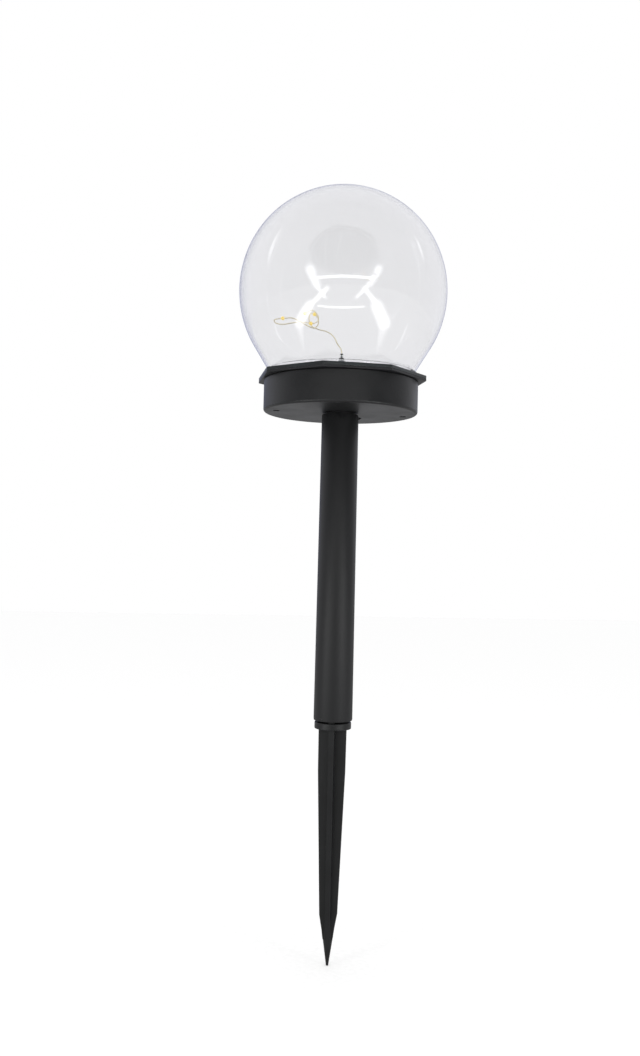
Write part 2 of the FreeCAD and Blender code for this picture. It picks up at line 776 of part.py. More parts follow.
def make_switch():
    body = block(well_shift - switch_half_length, well_shift + switch_half_length,
                 well_mid - switch_half_width, well_mid + switch_half_width, switch_z, board_z)
    save("switch_body", body.cut(stem_slot(switch_z - over, switch_z + stem_entry + slot_play)))
    rest = well_shift - switch_travel / 2.0
    high = well_roof_z - knob_play
    low = high - knob_height
    cap = rounded_block(rest - knob_half_length, rest + knob_half_length, well_mid - knob_half_width,
                        well_mid + knob_half_width, low, high, knob_half_width / 3.0)
    stem = block(rest - stem_half_length, rest + stem_half_length, well_mid - stem_half_width,
                 well_mid + stem_half_width, high - stem_root, switch_z + stem_entry)
    grooves = []
    for k in range(knob_grooves):
        x = rest + (k - (knob_grooves - 1) / 2.0) * knob_groove_pitch
        grooves.append(block(x - knob_groove_width / 2.0, x + knob_groove_width / 2.0, well_near,
                             well_far, low - over, low + knob_groove_width))
    save("switch_knob", cap.fuse(stem).cut(grooves).removeSplitter())


def make_board():
    near = well_near + board_margin
    far = well_far - board_margin
    board = block(board_low_x, board_high_x, near, far, board_z, board_top_z)
    board = board.cut([cylinder(pin_radius + pin_play, board_z - over, board_top_z + over, x, y)
                       for x, y in board_pegs()])
    save("circuit_board", board)
    chip_at = Vector(well_shift - board_half_length / 2.0, well_mid, board_top_z + chip_half.z)
    save("driver_chip", centred(chip_half, chip_at))
    cap_at = Vector(well_shift + board_half_length / 4.0, well_mid + capacitor_offset,
                    board_top_z + capacitor_half.z)
    save("capacitor", centred(capacitor_half, cap_at))
    coil_at = Vector(well_shift + peg_reach, well_mid, board_z)
    start = coil_at + Vector(0, -inductor_length / 2.0, -inductor_radius - part_gap)
    coil = Part.makeCylinder(inductor_radius, inductor_length, start, Vector(0, 1, 0))
    rims = [e for e in coil.Edges if e.Closed and isinstance(e.Curve, Part.Circle)]
    save("inductor", coil.makeFillet(inductor_radius / 3.0, rims))


def centred(half, at):
    return block(at.x - half.x, at.x + half.x, at.y - half.y, at.y + half.y, at.z - half.z,
                 at.z + half.z)


def panel_lead_starts():
    return [(lead_hole_x + side * lead_hole_spread, -lead_hole_back) for side in (-1, 1)]


def make_leads():
    """Insulated leads inside the housing; each lies on the board where it is soldered."""
    lie = board_top_z + lead_diameter / 2.0 + part_gap
    pad_y = well_near + board_margin + lead_diameter
    panel = []
    for k, (x, y) in enumerate(panel_lead_starts()):
        pad_x = panel_pad_x + k * panel_pad_pitch
        middle_x = (x + pad_x) / 2.0 + panel_lead_slack
        points = [Vector(x, y, panel_z), Vector(x, y, lie), Vector(middle_x, pad_y / 3.0, lie),
                  Vector(pad_x, pad_y, lie)]
        panel.append(tube(points, lead_diameter, lead_bend)[0])
    save("panel_leads", Part.makeCompound(panel))
    light = []
    for side in (-1, 1):
        x = side * lead_spacing / 2.0
        points = [Vector(x, 0, lead_end_z), Vector(x, 0, lie), Vector(x, pad_y, lie)]
        light.append(tube(points, lead_diameter, lead_bend)[0])
    save("led_leads", Part.makeCompound(light))
    tab_end = -battery_inset + contact_width / 2.0 + contact_tab
    turn_reach = board_half_length + battery_lead_clear
    supply = []
    for side, face_x in ((-1, contact_low_x - contact_thick), (1, battery_high_x)):
        x = face_x + contact_thick / 2.0
        points = [Vector(x, tab_end, battery_z), Vector(x, tab_end + battery_lead_run, battery_z),
                  Vector(x - side * battery_lead_draw, 0.0, battery_z + battery_lead_rise),
                  Vector(well_shift + side * turn_reach, battery_lead_turn, lie),
                  Vector(well_shift + side * battery_pad_reach, pad_y, lie)]
        supply.append(tube(points, lead_diameter)[0])
    save("battery_leads", Part.makeCompound(supply))


save("spike", make_spike())
save("pole", make_pole())
save("base_cup", make_cup())
save("lid", make_lid())
save("lid_gasket", make_gasket())
save("case_screws", make_screws())
make_panel()
make_globe()
make_post()
make_string()
make_battery()
make_contacts()
make_switch()
make_board()
make_leads()
print("overall height", round(globe_centre_z + globe_radius + tip_drop, 1))
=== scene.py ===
import bmesh
import bpy
import json
import math
from mathutils import Matrix, Vector

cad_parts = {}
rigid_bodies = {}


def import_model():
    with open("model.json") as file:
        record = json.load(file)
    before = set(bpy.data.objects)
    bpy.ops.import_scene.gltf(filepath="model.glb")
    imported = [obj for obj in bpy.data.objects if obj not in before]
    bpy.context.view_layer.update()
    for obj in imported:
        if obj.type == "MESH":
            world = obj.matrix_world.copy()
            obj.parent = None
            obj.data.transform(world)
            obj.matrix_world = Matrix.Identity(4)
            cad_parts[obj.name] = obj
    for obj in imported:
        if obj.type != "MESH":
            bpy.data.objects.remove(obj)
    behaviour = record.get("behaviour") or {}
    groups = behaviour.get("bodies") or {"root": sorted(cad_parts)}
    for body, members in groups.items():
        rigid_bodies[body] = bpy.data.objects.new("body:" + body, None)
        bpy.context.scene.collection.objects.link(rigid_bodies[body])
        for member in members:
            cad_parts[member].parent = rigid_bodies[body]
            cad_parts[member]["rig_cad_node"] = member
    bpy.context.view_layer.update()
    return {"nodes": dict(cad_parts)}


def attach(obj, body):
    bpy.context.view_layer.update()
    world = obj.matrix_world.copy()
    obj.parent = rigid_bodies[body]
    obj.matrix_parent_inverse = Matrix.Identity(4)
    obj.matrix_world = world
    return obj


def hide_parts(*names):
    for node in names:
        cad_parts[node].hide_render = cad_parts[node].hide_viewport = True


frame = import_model()
print("frame loaded:", len(frame["nodes"]), "nodes")

mm = 0.001   # sizes below are in millimetres, Blender works in metres
mergeDistance = 0.002 * mm   # corners that lie closer than this are one corner


def deselectAll():
    if bpy.context.object and bpy.context.object.mode != "OBJECT":
        bpy.ops.object.mode_set(mode="OBJECT")
    bpy.ops.object.select_all(action="DESELECT")


def makeActive(piece):
    deselectAll()
    piece.select_set(True)
    bpy.context.view_layer.objects.active = piece


def applyPlace(piece):
    makeActive(piece)
    bpy.ops.object.transform_apply(location=True, rotation=True, scale=True)


def selectByPlace(piece, test):
    # vertex selection in edit mode, by where each vertex is (in mm)
    bpy.ops.mesh.select_mode(type="VERT")
    bpy.ops.mesh.select_all(action="DESELECT")
    shape = bmesh.from_edit_mesh(piece.data)
    for vert in shape.verts:
        vert.select = test(vert.co / mm)
    shape.select_flush(True)
    bmesh.update_edit_mesh(piece.data)


def cleanUp(piece):
    makeActive(piece)
    bpy.ops.object.mode_set(mode="EDIT")
    bpy.ops.mesh.select_all(action="SELECT")
    bpy.ops.mesh.remove_doubles(threshold=mergeDistance)
    bpy.ops.mesh.normals_make_consistent(inside=False)
    bpy.ops.object.mode_set(mode="OBJECT")


def applyAll(piece):
    makeActive(piece)
    for modifier in list(piece.modifiers):
        bpy.ops.object.modifier_apply(modifier=modifier.name)


def smoothByAngle(piece, degrees):
    makeActive(piece)
    bpy.ops.object.shade_smooth_by_angle(angle=math.radians(degrees))


def keepFacesFlat(piece):
    # large faces keep their own normals, so that only the eased edges are shaded round
    weighted = piece.modifiers.new("flatFaces", "WEIGHTED_NORMAL")
    weighted.keep_sharp = True
    applyAll(piece)


def softenEdges(piece, width, limit):
    # edges that turn by more than the limit, in degrees, are eased by a bevel of two faces
    bevel = piece.modifiers.new("softEdges", "BEVEL")
    bevel.width = width * mm
    bevel.segments = 2
    bevel.limit_method = "ANGLE"
    bevel.angle_limit = math.radians(limit)
    applyAll(piece)


def turnPiece(name, profile, sides, loop=False):
    # a ring is pulled along the profile of (radius, height) points, like clay on a wheel; then the last
    # ring is joined to the first by a loop, or both ends are closed to a point
    near = 0.001   # mm
    deselectAll()
    radius, height = profile[0]
    bpy.ops.mesh.primitive_circle_add(vertices=sides, radius=radius * mm, fill_type="NOTHING",
                                      location=(0, 0, height * mm))
    piece = bpy.context.object
    piece.name = piece.data.name = name
    applyPlace(piece)
    bpy.ops.object.mode_set(mode="EDIT")
    bpy.ops.mesh.select_mode(type="EDGE")
    bpy.ops.mesh.select_all(action="SELECT")
    points = list(profile) + ([profile[0]] if loop else [])
    for (radius, height), (nextRadius, nextHeight) in zip(points, points[1:]):
        bpy.ops.mesh.extrude_edges_move(
            TRANSFORM_OT_translate={"value": (0, 0, (nextHeight - height) * mm)})
        share = nextRadius / radius
        bpy.ops.transform.resize(value=(share, share, 1), center_override=(0, 0, nextHeight * mm))
    if not loop:
        bpy.ops.mesh.merge(type="CENTER")
        radius, height = profile[0]
        selectByPlace(piece, lambda p: abs(p.z - height) < near
                      and abs(math.hypot(p.x, p.y) - radius) < near)
        bpy.ops.mesh.merge(type="CENTER")
    bpy.ops.object.mode_set(mode="OBJECT")
    cleanUp(piece)
    return piece


def arcPoints(centre, radius, start, end, steps):
    # (radius, height) points on an arc, angles in degrees above the level
    found = []
    for k in range(steps + 1):
        angle = math.radians(start + (end - start) * k / steps)
        found.append((centre[0] + radius * math.cos(angle), centre[1] + radius * math.sin(angle)))
    return found


def lowRim(radius, low, rim):
    # a rounded lower rim, run outwards and up; each of its points is (in from the side, in from the end)
    return [(radius - inward, low + upward) for inward, upward in rim]


def highRim(radius, high, rim):
    # the same at an upper end, where the outline runs up and inwards
    return [(radius - inward, high - downward) for inward, downward in reversed(rim)]


def mergedCopy(node, name):
    # a copy of a CAD node, its loose triangles joined and its flat faces made whole again
    flatWithin = 0.4   # degrees
    makeActive(frame["nodes"][node])
    bpy.ops.object.duplicate()
    piece = bpy.context.object
    piece.name = piece.data.name = name
    piece.parent = None
    del piece["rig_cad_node"]
    bpy.ops.object.mode_set(mode="EDIT")
    bpy.ops.mesh.select_all(action="SELECT")
    bpy.ops.mesh.customdata_custom_splitnormals_clear()
    bpy.ops.mesh.remove_doubles(threshold=mergeDistance)
    bpy.ops.mesh.dissolve_limited(angle_limit=math.radians(flatWithin))
    bpy.ops.object.mode_set(mode="OBJECT")
    return piece


def standFor(piece, body, slotName, *nodeNames):
    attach(piece, body)
    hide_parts(*nodeNames)


# materials: each starts from what the real one is made of

def hexColour(text):
    channels = [int(text[i:i + 2], 16) / 255 for i in (1, 3, 5)]
    linear = [c / 12.92 if c <= 0.04045 else ((c + 0.055) / 1.055) ** 2.4 for c in channels]
    return (*linear, 1.0)


def addNode(tree, kind, inputs=None, **settings):
    node = tree.nodes.new(kind)
    for key, value in settings.items():
        setattr(node, key, value)
    for key, value in (inputs or {}).items():
        if isinstance(value, bpy.types.NodeSocket):
            tree.links.new(value, node.inputs[key])
        else:
            node.inputs[key].default_value = value
    return node


def startMaterial(name):
    material = bpy.data.materials.new(name)
    material.use_nodes = True
    material.node_tree.nodes.clear()
    return material, material.node_tree


def finishMaterial(tree, shader, volume=None):
    end = addNode(tree, "ShaderNodeOutputMaterial", {"Surface": shader.outputs[0]})
    if volume:
        tree.links.new(volume.outputs[0], end.inputs["Volume"])


def cloudedColour(tree, noise, dark, light):
    # a surface colour that wanders between two shades with a noise, over the middle of the noise's
    # range, where most of its values lie
    start, stop = 0.35, 0.65
    ramp = addNode(tree, "ShaderNodeValToRGB", {"Fac": noise.outputs["Fac"]})
    for end, position, shade in zip(ramp.color_ramp.elements, (start, stop), (dark, light)):
        end.position = position
        end.color = hexColour(shade)
    return ramp.outputs["Color"]


def mouldedPlastic(name, dark, light, grainSize, grainDepth, rough, stretch=(1, 1, 1), ior=1.53):
    # clouds of slightly different colour and gloss, and the fine grain that the mould or die leaves;
    # the real grain is 0.1 to 0.2 mm and is drawn coarser, because it would be too fine to show
    cloudSize = 14
    material, tree = startMaterial(name)
    where = addNode(tree, "ShaderNodeTexCoord").outputs["Object"]
    along = addNode(tree, "ShaderNodeMapping", {"Vector": where, "Scale": stretch}).outputs[0]
    clouds = addNode(tree, "ShaderNodeTexNoise", {"Vector": along, "Scale": 1 / (cloudSize * mm),
                                                  "Detail": 3.0})
    grain = addNode(tree, "ShaderNodeTexNoise", {"Vector": along, "Scale": 1 / (grainSize * mm),
                                                 "Detail": 2.0, "Roughness": 0.6})
    colour = cloudedColour(tree, clouds, dark, light)
    roughness = addNode(tree, "ShaderNodeMapRange", {"Value": clouds.outputs["Fac"], "From Min": 0.3,
                                                     "From Max": 0.7, "To Min": rough - 0.04,
                                                     "To Max": rough + 0.05})
    bump = addNode(tree, "ShaderNodeBump", {"Height": grain.outputs["Fac"], "Strength": 0.6,
                                            "Distance": grainDepth * mm})
    shader = addNode(tree, "ShaderNodeBsdfPrincipled",
                     {"Base Color": colour, "Roughness": roughness.outputs[0], "IOR": ior,
                      "Normal": bump.outputs[0]})
    finishMaterial(tree, shader)
    return material


def metalFinish(name, dark, light, grainSize, rough):
    # plated or lacquered metal: bright, with faint clouds in its colour and its gloss
    dimple = 0.02   # mm
    material, tree = startMaterial(name)
    where = addNode(tree, "ShaderNodeTexCoord").outputs["Object"]
    noise = addNode(tree, "ShaderNodeTexNoise", {"Vector": where, "Scale": 1 / (grainSize * mm),
                                                 "Detail": 4.0})
    colour = cloudedColour(tree, noise, dark, light)
    roughness = addNode(tree, "ShaderNodeMapRange", {"Value": noise.outputs["Fac"], "To Min": rough - 0.08,
                                                     "To Max": rough + 0.1})
    bump = addNode(tree, "ShaderNodeBump", {"Height": noise.outputs["Fac"], "Strength": 0.25,
                                            "Distance": dimple * mm})
    shader = addNode(tree, "ShaderNodeBsdfPrincipled",
                     {"Base Color": colour, "Metallic": 1.0, "Roughness": roughness.outputs[0],
                      "Normal": bump.outputs[0]})
    finishMaterial(tree, shader)
    return material


def clearPlastic():
    # blown clear acrylic: polished and faintly wavy, with a lavender cast where the eye looks along
    # the wall
    waveLength, waveHeight = 16, 0.05
    material, tree = startMaterial("clear_acrylic")
    where = addNode(tree, "ShaderNodeTexCoord").outputs["Object"]
    along = addNode(tree, "ShaderNodeMapping", {"Vector": where, "Scale": (1.0, 1.0, 0.35)}).outputs[0]
    waves = addNode(tree, "ShaderNodeTexNoise", {"Vector": along, "Scale": 1 / (waveLength * mm),
                                                 "Detail": 1.0})
    bump = addNode(tree, "ShaderNodeBump", {"Height": waves.outputs["Fac"], "Strength": 0.5,
                                            "Distance": waveHeight * mm})
    shader = addNode(tree, "ShaderNodeBsdfPrincipled",
                     {"Base Color": hexColour("#f6f6f6"), "Roughness": 0.0, "IOR": 1.49,
                      "Transmission Weight": 1.0, "Normal": bump.outputs[0]})
    tint = addNode(tree, "ShaderNodeVolumeAbsorption", {"Color": hexColour("#d2d3e6"), "Density": 55.0})
    finishMaterial(tree, shader, tint)
    return material


def castResin(name, roughness, tintColour, density, ripple=0.012):
    # clear cast resin, glossy where it set against air, with a hardly seen ripple
    rippleLength = 9
    material, tree = startMaterial(name)
    where = addNode(tree, "ShaderNodeTexCoord").outputs["Object"]
    flow = addNode(tree, "ShaderNodeTexNoise", {"Vector": where, "Scale": 1 / (rippleLength * mm),
                                                "Detail": 2.0})
    bump = addNode(tree, "ShaderNodeBump", {"Height": flow.outputs["Fac"], "Strength": 0.3,
                                            "Distance": ripple * mm})
    haze = addNode(tree, "ShaderNodeMapRange", {"Value": flow.outputs["Fac"], "To Min": roughness,
                                                "To Max": roughness + 0.05})
    shader = addNode(tree, "ShaderNodeBsdfPrincipled",
                     {"Base Color": hexColour("#f4f6f6"), "Roughness": haze.outputs[0], "IOR": 1.54,
                      "Transmission Weight": 1.0, "Normal": bump.outputs[0]})
    tint = addNode(tree, "ShaderNodeVolumeAbsorption", {"Color": hexColour(tintColour), "Density": density})
    finishMaterial(tree, shader, tint)
    return material


def lampResin():
    # a drop of pale amber epoxy over the diode, which is unlit; its faint yellow glow is a painted glow that
    # brightens the drop
    cloudSize = 0.8
    material, tree = startMaterial("amber_lamp_epoxy")
    where = addNode(tree, "ShaderNodeTexCoord").outputs["Object"]
    cloud = addNode(tree, "ShaderNodeTexNoise", {"Vector": where, "Scale": 1 / (cloudSize * mm),
                                                 "Detail": 2.0})
    colour = cloudedColour(tree, cloud, "#fbdc6a", "#fdeeb0")
    # the emission here is a painted glow, not light from the diode
    shader = addNode(tree, "ShaderNodeBsdfPrincipled",
                     {"Base Color": colour, "Roughness": 0.12, "IOR": 1.5, "Transmission Weight": 0.3,
                      "Emission Color": hexColour("#ffea58"), "Emission Strength": 0.34})
    finishMaterial(tree, shader)
    return material


def siliconCell():
    # blue-black cell with its fine silver fingers, printed across the strip; the real fingers are
    # 0.1 mm wide and are drawn a little wider, so that they show
    cloudSize, fingerSpacing, fingerWidth = 7, 1.9, 0.17
    material, tree = startMaterial("monocrystalline_silicon")
    where = addNode(tree, "ShaderNodeTexCoord").outputs["Object"]
    place = addNode(tree, "ShaderNodeSeparateXYZ", {"Vector": where})
    cloud = addNode(tree, "ShaderNodeTexNoise", {"Vector": where, "Scale": 1 / (cloudSize * mm),
                                                 "Detail": 3.0})
    colour = cloudedColour(tree, cloud, "#0b1026", "#17224a")
    count = addNode(tree, "ShaderNodeMath", {0: place.outputs["Y"], 1: 1 / (fingerSpacing * mm)},
                    operation="MULTIPLY")
    turn = addNode(tree, "ShaderNodeMath", {0: count.outputs[0]}, operation="FRACT")
    isFinger = addNode(tree, "ShaderNodeMath", {0: turn.outputs[0], 1: fingerWidth / fingerSpacing},
                       operation="LESS_THAN")
    mixed = addNode(tree, "ShaderNodeMix", {0: isFinger.outputs[0], 6: colour, 7: hexColour("#9aa3ad")},
                    data_type="RGBA")
    shader = addNode(tree, "ShaderNodeBsdfPrincipled",
                     {"Base Color": mixed.outputs[2], "Roughness": 0.28, "IOR": 1.6})
    finishMaterial(tree, shader)
    return material


# a plastic is given by its two shades, the size and depth of its grain in mm and its roughness, a metal by
# its two shades, the size of its clouds in mm and its roughness, and a resin by its roughness and its tint
materials = {
    # satin black moulding whose grain only shows where light grazes it
    "housing": mouldedPlastic("moulded_abs", "#151618", "#1b1c1e", 0.8, 0.05, 0.42, ior=1.46),
    # the same black, a little duller, with its grain drawn out along the tube
    "pole": mouldedPlastic("extruded_abs", "#131416", "#191a1c", 0.8, 0.04, 0.48, stretch=(1, 1, 0.15),
                           ior=1.46),
    # the blackest and most waxy of the mouldings
    "spike": mouldedPlastic("moulded_polypropylene", "#121314", "#191a1b", 0.9, 0.06, 0.4, ior=1.44),
    # dark grey and smooth, as a part that slides
    "knob": mouldedPlastic("moulded_acetal", "#232426", "#2c2d2f", 0.3, 0.02, 0.4),
    # dull blue-black, which reads violet against the panel
    "rubber": mouldedPlastic("moulded_rubber", "#1d2033", "#282c40", 0.25, 0.02, 0.62),
    # dull and black: the cap and the tie are dark dots above the bright ferrule
    "capRubber": mouldedPlastic("moulded_black_rubber", "#121314", "#1a1b1d", 0.25, 0.02, 0.6),
    # milky and soft, paler than all that is round it
    "paleSleeve": mouldedPlastic("extruded_silicone", "#c9d6d0", "#e2eae4", 0.3, 0.01, 0.45),
    # black glass laminate, of which only the dull sawn edge shows
    "board": mouldedPlastic("black_glass_laminate", "#101114", "#191b1f", 0.4, 0.02, 0.5),
    "globe": clearPlastic(),
    # water-clear and very glossy over the cells
    "resinTop": castResin("cast_epoxy_surface", 0.02, "#dfe6e2", 20.0, ripple=0.002),
    # where the plate was sawn out: dark and half glossy, with fine scratches that lie along the cut
    "resinEdge": mouldedPlastic("sawn_epoxy_edge", "#16191a", "#20282a", 0.35, 0.03, 0.36,
                                stretch=(1, 1, 3)),
    # a hazy bead that hides the joint between flange and panel
    "bond": castResin("cured_silicone_bead", 0.3, "#dfe3e3", 40.0),
    "bead": lampResin(),
    "cells": siliconCell(),
    # soft bright grey, as after dipping
    "tin": metalFinish("tinned_copper", "#b9bcbb", "#d3d5d2", 1.2, 0.3),
    # zinc plating, drawn mid grey with a dull shine and dimmer than the tin: a painted shade for the recess
    # it sits in
    "screw": metalFinish("zinc_steel_in_painted_shade", "#5b5e61", "#707376", 0.8, 0.34),
    # pale straw gold, as thin copper wire under clear lacquer looks in a white room
    "copper": metalFinish("lacquered_copper", "#e8dcb6", "#f6eed0", 0.9, 0.38),
    # warm and bright, the smoothest of the metals
    "nickel": metalFinish("nickel_plated_steel", "#a9a59c", "#bfbbb1", 0.8, 0.24),
    # tight glossy film in one green
    "wrap": mouldedPlastic("shrink_film", "#1f6b3d", "#28794a", 1.2, 0.01, 0.3),
    # green lacquer that pools a little, half glossy
    "solderMask": mouldedPlastic("solder_mask", "#10542c", "#176837", 0.6, 0.01, 0.35),
    # dull charcoal
    "chip": mouldedPlastic("moulded_epoxy_chip", "#1b1b1c", "#232425", 0.2, 0.01, 0.55),
    # biscuit brown, hardly glossy
    "ceramic": mouldedPlastic("fired_ceramic", "#a98759", "#bb9868", 0.2, 0.01, 0.5),
    # dry dark grey
    "ferrite": mouldedPlastic("sintered_ferrite", "#3a3a3c", "#47474a", 0.2, 0.02, 0.6),
    # the leads' smooth sheaths, in the usual colours
    "redLead": mouldedPlastic("red_pvc", "#a81d1b", "#bb2a25", 0.5, 0.01, 0.4),
    "blackLead": mouldedPlastic("black_pvc", "#18181a", "#202023", 0.5, 0.01, 0.4),
    "whiteLead": mouldedPlastic("white_pvc", "#dcdcd6", "#e8e8e3", 0.5, 0.01, 0.4),
    # chalky yellow, the spot of colour inside each drop
    "phosphor": mouldedPlastic("yellow_phosphor", "#e3c23a", "#f0d564", 0.2, 0.01, 0.6),
}


def dress(piece, *names):
    piece.data.materials.clear()
    for name in names:
        piece.data.materials.append(materials[name])


# camera, where the photograph was taken from
camera = {
    "place": (-93.30, -479.99, 79.69),   # mm
    "heading": -10.017, "pitch": 1.816, "roll": 1.412,   # degrees
    "focalPixels": 1020.69, "imageHeight": 1056, "sensor": 36.0, "clipStart": 0.01,
}


def makeCamera():
    turn = (Matrix.Rotation(math.radians(camera["heading"]), 4, "Z")
            @ Matrix.Rotation(math.radians(90 + camera["pitch"]), 4, "X")
            @ Matrix.Rotation(math.radians(camera["roll"]), 4, "Z"))
    deselectAll()
    bpy.ops.object.camera_add(location=Vector(camera["place"]) * mm, rotation=turn.to_euler())
    made = bpy.context.object
    made.data.sensor_width = camera["sensor"]
    made.data.lens = camera["focalPixels"] * camera["sensor"] / camera["imageHeight"]
    made.data.clip_start = camera["clipStart"]
    bpy.context.scene.camera = made


makeCamera()
print("camera set")


# light string: the two wires and the drops of resin on them; the route is turned about the post by
# "turn" degrees and stands on its top, at the height "start"
lightString = {
    "start": 179.4, "turn": -11.0, "diameter": 0.6, "length": 94.7,
    "strandDiameter": 0.3, "strandPitch": 2.6, "splineSteps": 16, "lineStep": 0.2,
    "beadsAt": (30.4, 55.2, 80.15, 94.5),   # from the wire's start; the last one closes its end
    "beadRadius": 0.95, "beadHalfLength": 1.15, "beadFullness": 0.62, "beadSteps": 10, "beadSides": 24,
    "route": [
        (0.0, 0.0, 0.0), (0.0, 0.0, 2.0), (-2.3, 0.4, 4.6), (-3.5, 0.8, 8.0), (-6.9, 0.5, 10.7),
        (-11.3, -0.2, 11.4), (-15.1, -1.2, 12.7), (-16.4, -1.7, 16.2), (-15.3, -1.3, 19.9),
        (-11.8, 1.3, 17.9), (-11.4, 2.4, 14.6), (-13.7, 3.4, 12.4), (-18.4, 2.6, 14.6),
        (-23.9, 1.0, 17.3), (-26.6, 0.3, 16.9), (-31.0, -0.6, 16.3), (-33.4, -0.3, 15.7),
        (-32.2, 0.9, 14.2), (-28.6, 1.4, 13.9), (-24.0, 1.2, 14.9), (-19.4, -0.6, 15.1),
        (-16.8, -3.4, 13.9), (-13.4, -4.0, 13.2), (-11.2, -3.4, 15.5), (-12.1, -2.8, 18.4),
        (-15.0, -3.6, 20.6), (-17.6, -4.0, 18.6),
    ],
}


def stringRoute():
    turn = Matrix.Rotation(math.radians(lightString["turn"]), 3, "Z")
    return [turn @ Vector((x, y, z + lightString["start"])) * mm for x, y, z in lightString["route"]]


def stringLine():
    # the wire's centreline: a smooth NURBS spline over the route, read back as points
    curve = bpy.data.curves.new("stringLine", "CURVE")
    curve.dimensions = "3D"
    curve.resolution_u = lightString["splineSteps"]
    spline = curve.splines.new("NURBS")
    route = stringRoute()
    spline.points.add(len(route) - 1)
    for point, place in zip(spline.points, route):
        point.co = (*place, 1.0)
    spline.order_u = 3
    spline.use_endpoint_u = True
    holder = bpy.data.objects.new("stringLine", curve)
    bpy.context.scene.collection.objects.link(holder)
    bpy.context.view_layer.update()
    read = bpy.data.meshes.new_from_object(holder.evaluated_get(bpy.context.evaluated_depsgraph_get()))
    line = [v.co.copy() for v in read.vertices]
    bpy.data.objects.remove(holder)
    return line


def evenLine(line, step):
    # the same line, with points a steady step apart
    total = sum((b - a).length for a, b in zip(line, line[1:]))
    count = round(total / step)
    found, covered, k = [line[0].copy()], 0.0, 0
    for n in range(1, count):
        target = total * n / count
        while covered + (line[k + 1] - line[k]).length < target:
            covered += (line[k + 1] - line[k]).length
            k += 1
        run = line[k + 1] - line[k]
        found.append(line[k] + run * ((target - covered) / run.length))
    return found + [line[-1].copy()]


def placeAlong(line, distance):
    # the point at a distance from the line's start, and which way the line runs there; past its end
    # the line is followed straight on
    step = (line[1] - line[0]).length
    k = min(int(distance / step), len(line) - 2)
    ahead = (line[k + 1] - line[k]).normalized()
    return line[k] + ahead * (distance - k * step), ahead


def makeStrands(line):
    # two lacquered wires laid round each other along the line
    offset = (lightString["diameter"] - lightString["strandDiameter"]) / 2 * mm
    curve = bpy.data.curves.new("led_wire_strands", "CURVE")
    curve.dimensions = "3D"
    curve.bevel_depth = lightString["strandDiameter"] / 2 * mm
    curve.bevel_resolution = 1
    curve.use_fill_caps = True
    side = (line[1] - line[0]).orthogonal().normalized()
    sides = []
    for k, point in enumerate(line):
        ahead = line[min(k + 1, len(line) - 1)] - line[max(k - 1, 0)]
        ahead.normalize()
        side = (side - ahead * side.dot(ahead)).normalized()
        sides.append((point, ahead, side))
    step = (line[1] - line[0]).length
    for start in (0.0, math.pi):
        spline = curve.splines.new("POLY")
        spline.points.add(len(line) - 1)
        for k, (point, ahead, side) in enumerate(sides):
            angle = start + 2 * math.pi * k * step / (lightString["strandPitch"] * mm)
            place = point + (side * math.cos(angle) + ahead.cross(side) * math.sin(angle)) * offset
            spline.points[k].co = (*place, 1.0)
    strands = bpy.data.objects.new("led_wire_strands", curve)
    bpy.context.scene.collection.objects.link(strands)
    makeActive(strands)
    bpy.ops.object.convert(target="MESH")
    strands = bpy.context.object
    bpy.ops.object.shade_smooth()
    dress(strands, "copper")
    return strands


def makeBeads(line):
    # drops of resin that have run a little way along the wire, one shape copied to each place; the
    # diode sits inside
    radius, reach = lightString["beadRadius"], lightString["beadHalfLength"]
    steps = lightString["beadSteps"]
    profile = []
    for k in range(1, steps):
        share = k / steps
        swell = math.sin(math.pi * share) ** lightString["beadFullness"]
        profile.append((radius * swell, -reach + 2 * reach * share))
    bead = turnPiece("led_bead", profile, lightString["beadSides"])
    smoothByAngle(bead, 180)   # round all over
    dress(bead, "bead")
    made = [bead]
    while len(made) < len(lightString["beadsAt"]):
        makeActive(bead)
        bpy.ops.object.duplicate()
        made.append(bpy.context.object)
    for k, distance in enumerate(lightString["beadsAt"]):
        made[k].name = made[k].data.name = "led_bead_%d" % (k + 1)
        centre, ahead = placeAlong(line, distance * mm)
        turn = ahead.to_track_quat("Z", "Y").to_matrix().to_4x4()
        made[k].data.transform(Matrix.Translation(centre) @ turn)
    return made


centreLine = evenLine(stringLine(), lightString["lineStep"] * mm)
strands = makeStrands(centreLine)
standFor(strands, "head", "copper_wire", "led_wire")
beads = makeBeads(centreLine)
for bead in beads:
    standFor(bead, "head", "amber_resin", "led_beads")
print("light string made:", len(beads), "beads")


globe = {
    "radius": 50.0, "wall": 1.3, "endAngle": 32.18, "neckRadius": 34.5, "flangeRadius": 36.7,
    "flangeLow": 168.5, "flangeThick": 1.3, "footRise": 2.0, "edge": 0.35, "filletRise": 0.21,
    "sides": 240, "rings": 90, "lastRing": 89.0, "smoothBelow": 25,
}


